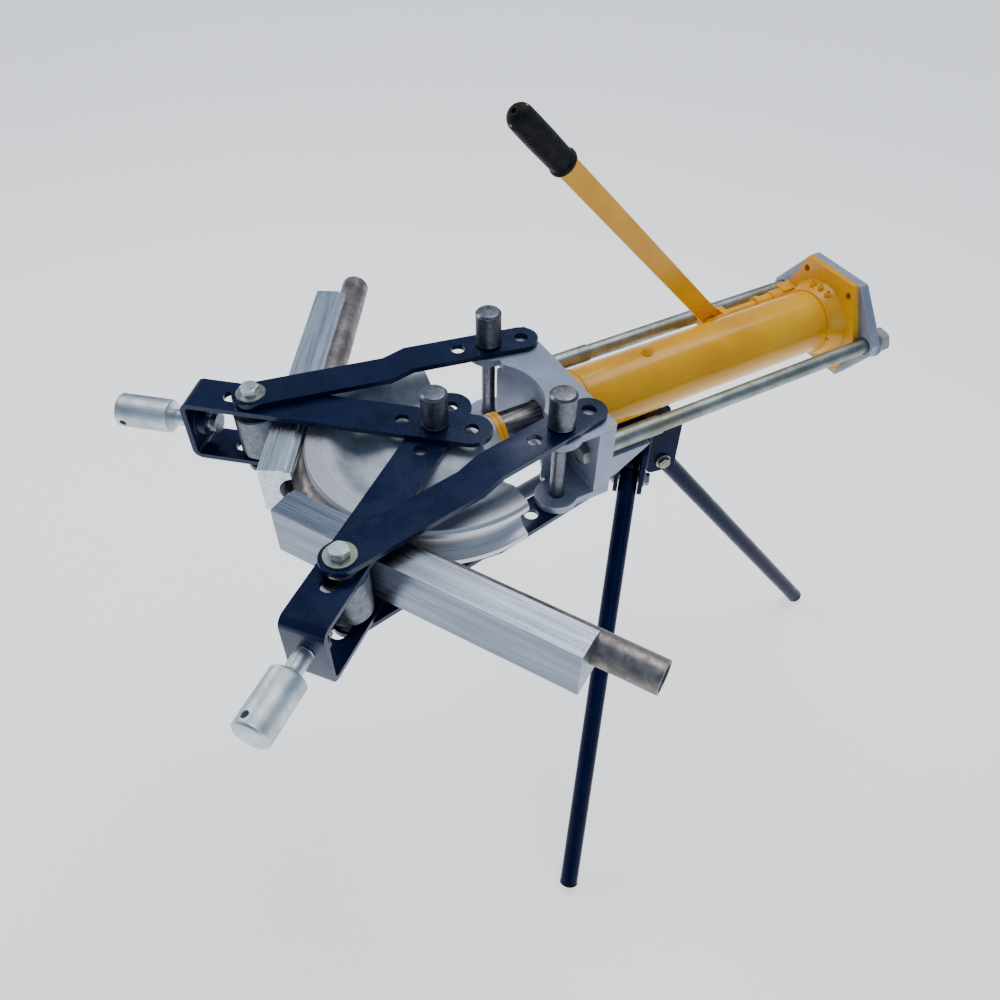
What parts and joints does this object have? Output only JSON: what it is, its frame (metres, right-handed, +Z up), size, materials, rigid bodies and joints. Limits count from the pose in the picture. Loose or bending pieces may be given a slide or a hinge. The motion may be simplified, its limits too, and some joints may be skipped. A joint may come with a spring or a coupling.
{
  "type": "hydraulic tube bender",
  "caption": "Hand-pumped hydraulic tube bender: a ram drives a grooved former while swinging arms, rollers and sliding follower blocks wrap the tube round it, on a folding tripod",
  "frame": {"origin": "on the ground, under the middle of the whole machine", "axes": "+Z up; the ram axis runs along Y, with the former towards -Y and the pump end towards +Y; +X is the near side"},
  "size_m": [0.9141, 1.2031, 1.1691],
  "materials": {
    "silver_paint": "satin silver-grey paint",
    "black_powder": "gloss black powder coat",
    "yellow_paint": "gloss yellow paint",
    "zinc": "bright zinc plating",
    "bare_steel": "turned bare steel",
    "dark_steel": "dull mill-scale steel",
    "aluminium": "machined aluminium",
    "cast_aluminium": "cast aluminium with a polished groove",
    "rubber": "ribless black rubber"
  },
  "bodies": {
    "frame": {"frame_top_plate": "silver_paint", "frame_bottom_plate": "silver_paint", "frame_arch_web": "silver_paint", "frame_back_wall": "silver_paint", "frame_gussets": "silver_paint", "tie_rods": "zinc", "tie_rod_sleeves": "zinc", "tie_rod_nuts": "zinc", "rear_crosshead": "silver_paint", "cylinder_barrel": "yellow_paint", "cylinder_gland": "yellow_paint", "rear_flange": "yellow_paint", "flange_screws": "yellow_paint", "filler_plug": "yellow_paint", "pump_body": "yellow_paint", "lever_bracket": "yellow_paint", "lever_pivot_pin": "bare_steel", "stand_saddle": "black_powder", "tripod_head": "black_powder", "leg_bolts": "zinc"},
    "ram_head": {"ram": "dark_steel", "piston": "bare_steel", "piston_seal": "rubber", "ram_collar": "yellow_paint", "former": "cast_aluminium", "tube_middle": "dark_steel"},
    "plunger": {"pump_plunger": "dark_steel"},
    "lever": {"lever_socket": "yellow_paint", "lever_bar": "yellow_paint", "lever_grip": "rubber"},
    "valve_wheel": {"release_valve": "bare_steel"},
    "arm_pair_near": {"arms_near": "black_powder", "roller_bolt_near": "zinc", "washers_near": "zinc"},
    "arm_pair_far": {"arms_far": "black_powder", "roller_bolt_far": "zinc", "washers_far": "zinc"},
    "roller_wheel_near": {"roller_near": "bare_steel"},
    "roller_wheel_far": {"roller_far": "bare_steel"},
    "pin_near": {"frame_pin_near": "bare_steel"},
    "pin_far": {"frame_pin_far": "bare_steel"},
    "pin_centre": {"centre_pin": "bare_steel"},
    "u_strap_near": {"strap_near": "black_powder", "screw_bosses_near": "black_powder"},
    "u_strap_far": {"strap_far": "black_powder", "screw_bosses_far": "black_powder"},
    "pad_near": {"screw_pad_near": "bare_steel"},
    "pad_far": {"screw_pad_far": "bare_steel"},
    "screw_near": {"adjusting_screw_near": "zinc"},
    "screw_far": {"adjusting_screw_far": "zinc"},
    "follower_near": {"block_near": "aluminium", "tube_end_near": "dark_steel"},
    "follower_far": {"block_far": "aluminium", "tube_end_far": "dark_steel"},
    "stand_leg_front": {"leg_front": "black_powder", "leg_caps_front": "rubber"},
    "stand_leg_rear": {"leg_rear": "black_powder", "leg_caps_rear": "rubber"},
    "stand_leg_side": {"leg_side": "black_powder", "leg_caps_side": "rubber"}
  },
  "joints": [
    {"name": "ram_extend", "type": "slide", "parent": "frame", "child": "ram_head", "axis": [0, -1, 0], "range_m": [-0.027, 0.065], "deforming": ["tube_middle"]},
    {"name": "strap_fold_near", "type": "hinge", "parent": "ram_head", "child": "u_strap_near", "pos_m": [0, -0.2339, 0.747], "axis": [0, 0, 1], "range_deg": [-11.84, 28.51]},
    {"name": "arm_swing_near", "type": "hinge", "parent": "frame", "child": "arm_pair_near", "pos_m": [0.1, -0.1, 0.747], "axis": [0, 0, 1], "range_deg": [-6.75, 16.24]},
    {"name": "block_feed_near", "type": "slide", "parent": "u_strap_near", "child": "follower_near", "axis": [-0.8536, -0.521, 0], "range_m": [-0.03638, 0.08757]},
    {"name": "roller_spin_near", "type": "hinge", "parent": "arm_pair_near", "child": "roller_wheel_near", "pos_m": [0.16218, -0.43107, 0.747], "axis": [0, 0, 1], "continuous": true},
    {"name": "screw_feed_near", "type": "slide", "parent": "u_strap_near", "child": "pad_near", "axis": [-0.6353, 0.7723, 0], "range_m": [-0.005, 0.01]},
    {"name": "screw_turn_near", "type": "hinge", "parent": "pad_near", "child": "screw_near", "pos_m": [0.20456, -0.48258, 0.747], "axis": [-0.6353, 0.7723, 0], "range_deg": [-612, 1224]},
    {"name": "frame_pin_lift_near", "type": "slide", "parent": "frame", "child": "pin_near", "axis": [0, 0, 1], "range_m": [0, 0.16]},
    {"name": "strap_fold_far", "type": "hinge", "parent": "ram_head", "child": "u_strap_far", "pos_m": [0, -0.2339, 0.747], "axis": [0, 0, 1], "range_deg": [-28.51, 11.84]},
    {"name": "arm_swing_far", "type": "hinge", "parent": "frame", "child": "arm_pair_far", "pos_m": [-0.1, -0.1, 0.747], "axis": [0, 0, 1], "range_deg": [-16.24, 6.75]},
    {"name": "block_feed_far", "type": "slide", "parent": "u_strap_far", "child": "follower_far", "axis": [0.8536, -0.521, 0], "range_m": [-0.03638, 0.08757]},
    {"name": "roller_spin_far", "type": "hinge", "parent": "arm_pair_far", "child": "roller_wheel_far", "pos_m": [-0.16218, -0.43107, 0.747], "axis": [0, 0, 1], "continuous": true},
    {"name": "screw_feed_far", "type": "slide", "parent": "u_strap_far", "child": "pad_far", "axis": [0.6353, 0.7723, 0], "range_m": [-0.005, 0.01]},
    {"name": "screw_turn_far", "type": "hinge", "parent": "pad_far", "child": "screw_far", "pos_m": [-0.20456, -0.48258, 0.747], "axis": [0.6353, 0.7723, 0], "range_deg": [-612, 1224]},
    {"name": "frame_pin_lift_far", "type": "slide", "parent": "frame", "child": "pin_far", "axis": [0, 0, 1], "range_m": [0, 0.16]},
    {"name": "centre_pin_lift", "type": "slide", "parent": "ram_head", "child": "pin_centre", "axis": [0, 0, 1], "range_m": [0, 0.12]},
    {"name": "lever_pump", "type": "hinge", "parent": "frame", "child": "lever", "pos_m": [-0.063, 0.279, 0.719], "axis": [1, 0, 0], "range_deg": [-28, 25]},
    {"name": "plunger_stroke", "type": "slide", "parent": "frame", "child": "plunger", "axis": [0, 1, 0], "range_m": [-0.0195, 0.0198]},
    {"name": "valve_turn", "type": "hinge", "parent": "frame", "child": "valve_wheel", "pos_m": [-0.089, 0.445, 0.715], "axis": [1, 0, 0], "range_deg": [0, 270]},
    {"name": "leg_fold_front", "type": "hinge", "parent": "frame", "child": "stand_leg_front", "pos_m": [0.03549, 0.08334, 0.5836], "axis": [0.6361, 0.7716, 0], "range_deg": [0, 34]},
    {"name": "leg_fold_rear", "type": "hinge", "parent": "frame", "child": "stand_leg_rear", "pos_m": [0.00759, 0.15797, 0.5836], "axis": [-0.9863, 0.165, 0], "range_deg": [0, 34]},
    {"name": "leg_fold_side", "type": "hinge", "parent": "frame", "child": "stand_leg_side", "pos_m": [-0.04309, 0.09649, 0.5836], "axis": [0.3502, -0.9367, 0], "range_deg": [0, 34]}
  ],
  "couplings": [
    {"joint": "strap_fold_near", "follows": "ram_extend", "rad_per_m": 7.5049},
    {"joint": "arm_swing_near", "follows": "ram_extend", "rad_per_m": 4.2761},
    {"joint": "block_feed_near", "follows": "ram_extend", "ratio": 1.3209},
    {"joint": "screw_turn_near", "follows": "screw_feed_near", "rad_per_m": 2094.4},
    {"joint": "strap_fold_far", "follows": "ram_extend", "rad_per_m": -7.5049},
    {"joint": "arm_swing_far", "follows": "ram_extend", "rad_per_m": -4.2761},
    {"joint": "block_feed_far", "follows": "ram_extend", "ratio": 1.3209},
    {"joint": "screw_turn_far", "follows": "screw_feed_far", "rad_per_m": 2094.4},
    {"joint": "plunger_stroke", "follows": "lever_pump", "m_per_rad": -0.04}
  ]
}
